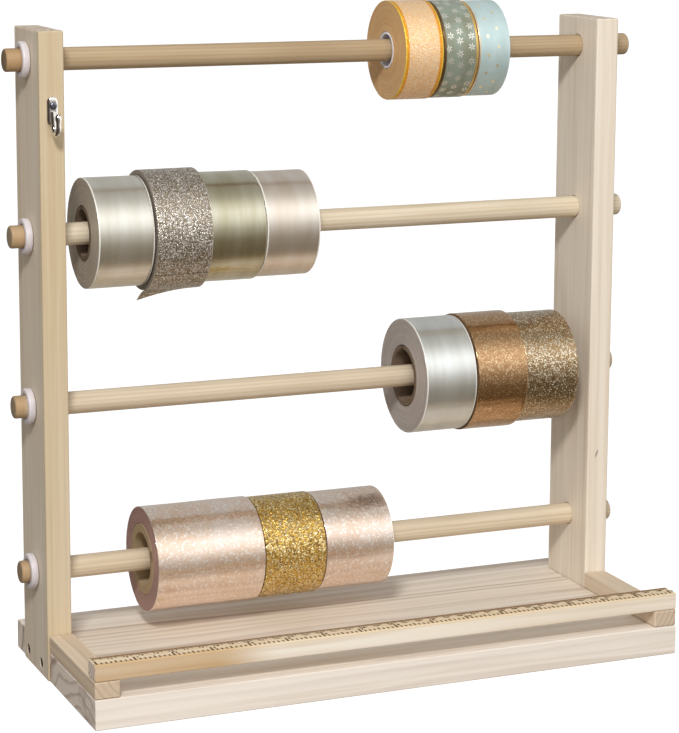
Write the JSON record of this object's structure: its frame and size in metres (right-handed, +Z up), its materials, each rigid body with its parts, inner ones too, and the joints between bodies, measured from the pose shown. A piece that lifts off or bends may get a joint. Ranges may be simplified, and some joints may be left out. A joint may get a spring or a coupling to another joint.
{
  "type": "ribbon rack",
  "caption": "Tabletop pine rack with two posts, loose rods that carry rolls of ribbon, a soft ring on each rod, a hook, and a ruler rail over a ribbon slot.",
  "frame": {"origin": "middle of the base board's underside", "axes": "+X to the right along the rods, +Y from the ruler rail to the back, +Z up"},
  "size_m": [0.45, 0.18, 0.4397],
  "materials": {
    "pine": "bare sanded pine with straight pale grain",
    "rail_pine": "bare sanded pine with a scale marked on its top",
    "dowel": "bare dowel, slightly darker than the boards",
    "silicone": "translucent white silicone",
    "nickel": "bright nickel plate",
    "dark_steel": "dark screw steel",
    "cardboard": "spiral-wound brown cardboard",
    "white_core": "thin white tube",
    "rose_foil": "rose foil ribbon, satin shine",
    "gold_glitter": "gold glitter ribbon",
    "pink_foil": "pink champagne foil ribbon",
    "pearl_satin": "pearl white satin ribbon",
    "copper_glitter": "copper glitter ribbon",
    "bronze_glitter": "bronze glitter ribbon",
    "cream_satin": "cream satin ribbon",
    "silver_glitter": "coarse champagne silver glitter ribbon",
    "olive_foil": "brushed olive gold foil ribbon",
    "champagne": "pinkish champagne ribbon with pale edges",
    "peach_glitter": "peach glitter ribbon with yellow edges",
    "teal_print": "grey-green ribbon with small pale prints and gold edges",
    "blue_satin": "pale blue satin ribbon with small gold prints"
  },
  "bodies": {
    "rack": {"base_board": "pine", "left_post": "pine", "right_post": "pine", "left_side_strip": "pine", "right_side_strip": "pine", "ruler_rail": "rail_pine", "left_post_screw_front": "dark_steel", "left_post_screw_back": "dark_steel", "right_post_screw_front": "dark_steel", "right_post_screw_back": "dark_steel", "hook": "nickel", "hook_screw": "nickel"},
    "rod_1_ring": {"rod_ring_1": "silicone"},
    "rod_1": {"rod_1": "dowel"},
    "rod_2_ring": {"rod_ring_2": "silicone"},
    "rod_2": {"rod_2": "dowel"},
    "rod_3_ring": {"rod_ring_3": "silicone"},
    "rod_3": {"rod_3": "dowel"},
    "rod_4_ring": {"rod_ring_4": "silicone"},
    "rod_4": {"rod_4": "dowel"},
    "rose_foil_roll": {"rose_foil_core": "cardboard", "rose_foil_ribbon": "rose_foil"},
    "gold_glitter_roll": {"gold_glitter_core": "cardboard", "gold_glitter_ribbon": "gold_glitter"},
    "pink_foil_roll": {"pink_foil_core": "cardboard", "pink_foil_ribbon": "pink_foil"},
    "pearl_satin_roll": {"pearl_satin_core": "cardboard", "pearl_satin_ribbon": "pearl_satin"},
    "copper_glitter_roll": {"copper_glitter_core": "cardboard", "copper_glitter_ribbon": "copper_glitter"},
    "bronze_glitter_roll": {"bronze_glitter_core": "cardboard", "bronze_glitter_ribbon": "bronze_glitter"},
    "cream_satin_roll": {"cream_satin_core": "cardboard", "cream_satin_ribbon": "cream_satin"},
    "silver_glitter_roll": {"silver_glitter_core": "cardboard", "silver_glitter_ribbon": "silver_glitter"},
    "olive_foil_roll": {"olive_foil_core": "cardboard", "olive_foil_ribbon": "olive_foil"},
    "champagne_roll": {"champagne_core": "cardboard", "champagne_ribbon": "champagne"},
    "peach_glitter_roll": {"peach_glitter_core": "white_core", "peach_glitter_ribbon": "peach_glitter"},
    "teal_print_roll": {"teal_print_core": "white_core", "teal_print_ribbon": "teal_print"},
    "blue_satin_roll": {"blue_satin_core": "white_core", "blue_satin_ribbon": "blue_satin"}
  },
  "joints": [
    {"name": "rod_1_draw", "type": "slide", "parent": "rack", "child": "rod_1_ring", "axis": [1, 0, 0], "range_m": [-0.026, 0]},
    {"name": "rod_1_turn", "type": "hinge", "parent": "rod_1_ring", "child": "rod_1", "pos_m": [-0.2, 0.04025, 0.068], "axis": [1, 0, 0], "continuous": true},
    {"name": "rod_2_draw", "type": "slide", "parent": "rack", "child": "rod_2_ring", "axis": [1, 0, 0], "range_m": [-0.026, 0]},
    {"name": "rod_2_turn", "type": "hinge", "parent": "rod_2_ring", "child": "rod_2", "pos_m": [-0.2, 0.04025, 0.1796], "axis": [1, 0, 0], "continuous": true},
    {"name": "rod_3_draw", "type": "slide", "parent": "rack", "child": "rod_3_ring", "axis": [1, 0, 0], "range_m": [-0.026, 0]},
    {"name": "rod_3_turn", "type": "hinge", "parent": "rod_3_ring", "child": "rod_3", "pos_m": [-0.2, 0.04025, 0.292], "axis": [1, 0, 0], "continuous": true},
    {"name": "rod_4_draw", "type": "slide", "parent": "rack", "child": "rod_4_ring", "axis": [1, 0, 0], "range_m": [-0.026, 0]},
    {"name": "rod_4_turn", "type": "hinge", "parent": "rod_4_ring", "child": "rod_4", "pos_m": [-0.2, 0.04025, 0.406], "axis": [1, 0, 0], "continuous": true},
    {"name": "rose_foil_turn", "type": "hinge", "parent": "rack", "child": "rose_foil_roll", "pos_m": [0, 0.04025, 0.068], "axis": [1, 0, 0], "continuous": true},
    {"name": "gold_glitter_turn", "type": "hinge", "parent": "rack", "child": "gold_glitter_roll", "pos_m": [0, 0.04025, 0.068], "axis": [1, 0, 0], "continuous": true},
    {"name": "pink_foil_turn", "type": "hinge", "parent": "rack", "child": "pink_foil_roll", "pos_m": [0, 0.04025, 0.068], "axis": [1, 0, 0], "continuous": true},
    {"name": "pearl_satin_turn", "type": "hinge", "parent": "rack", "child": "pearl_satin_roll", "pos_m": [0, 0.04025, 0.1796], "axis": [1, 0, 0], "continuous": true},
    {"name": "copper_glitter_turn", "type": "hinge", "parent": "rack", "child": "copper_glitter_roll", "pos_m": [0, 0.04025, 0.1796], "axis": [1, 0, 0], "continuous": true},
    {"name": "bronze_glitter_turn", "type": "hinge", "parent": "rack", "child": "bronze_glitter_roll", "pos_m": [0, 0.04025, 0.1796], "axis": [1, 0, 0], "continuous": true},
    {"name": "cream_satin_turn", "type": "hinge", "parent": "rack", "child": "cream_satin_roll", "pos_m": [0, 0.04025, 0.292], "axis": [1, 0, 0], "continuous": true},
    {"name": "silver_glitter_turn", "type": "hinge", "parent": "rack", "child": "silver_glitter_roll", "pos_m": [0, 0.04025, 0.292], "axis": [1, 0, 0], "continuous": true},
    {"name": "olive_foil_turn", "type": "hinge", "parent": "rack", "child": "olive_foil_roll", "pos_m": [0, 0.04025, 0.292], "axis": [1, 0, 0], "continuous": true},
    {"name": "champagne_turn", "type": "hinge", "parent": "rack", "child": "champagne_roll", "pos_m": [0, 0.04025, 0.292], "axis": [1, 0, 0], "continuous": true},
    {"name": "peach_glitter_turn", "type": "hinge", "parent": "rack", "child": "peach_glitter_roll", "pos_m": [0, 0.04025, 0.406], "axis": [1, 0, 0], "continuous": true},
    {"name": "teal_print_turn", "type": "hinge", "parent": "rack", "child": "teal_print_roll", "pos_m": [0, 0.04025, 0.406], "axis": [1, 0, 0], "continuous": true},
    {"name": "blue_satin_turn", "type": "hinge", "parent": "rack", "child": "blue_satin_roll", "pos_m": [0, 0.04025, 0.406], "axis": [1, 0, 0], "continuous": true}
  ]
}
